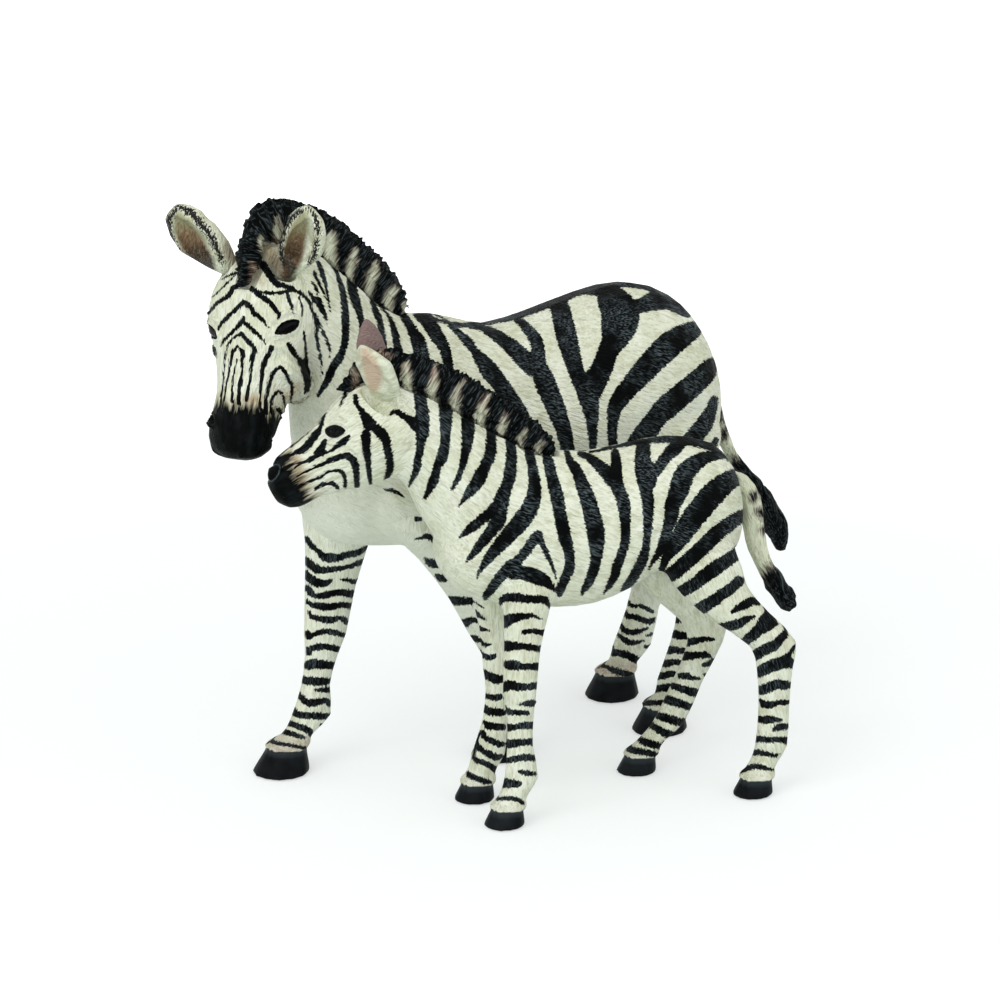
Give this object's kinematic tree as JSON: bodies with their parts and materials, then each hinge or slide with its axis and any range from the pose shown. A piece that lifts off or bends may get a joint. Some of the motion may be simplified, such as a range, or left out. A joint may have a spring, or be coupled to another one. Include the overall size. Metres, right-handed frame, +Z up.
{
  "type": "toy zebra mare and foal",
  "caption": "Standing toy zebra mare with her foal at her shoulder, two free figures of solid soft plastic with upright manes, resting on their hooves.",
  "frame": {"origin": "middle of the pair's box on the surface that the hooves stand on", "axes": "+Z up; -Y towards the viewer, who sees the left side of both figures; +X to the viewer's right, towards their tails"},
  "size_m": [0.095, 0.0706, 0.0939],
  "materials": {
    "coat": "satin soft plastic, painted with black stripes",
    "mane": "matte paint, dark with pale bands",
    "ear": "matte paint, brown inside with a pale rim",
    "tail": "matte paint, pale with a black tuft"
  },
  "bodies": {
    "mare": {"mare_trunk": "coat", "mare_neck": "coat", "mare_head": "coat", "mare_ear_left": "ear", "mare_ear_right": "ear", "mare_mane": "mane", "mare_foreleg_left": "coat", "mare_foreleg_right": "coat", "mare_hindleg_left": "coat", "mare_hindleg_right": "coat", "mare_tail": "tail"},
    "foal": {"foal_trunk": "coat", "foal_neck": "coat", "foal_head": "coat", "foal_ear_left": "ear", "foal_ear_right": "ear", "foal_mane": "mane", "foal_foreleg_left": "coat", "foal_foreleg_right": "coat", "foal_hindleg_left": "coat", "foal_hindleg_right": "coat", "foal_tail": "tail"}
  },
  "joints": [
    {"name": "foal_lift", "type": "slide", "parent": "mare", "child": "foal", "axis": [0, 0, 1], "range_m": [0, 0.1]}
  ]
}
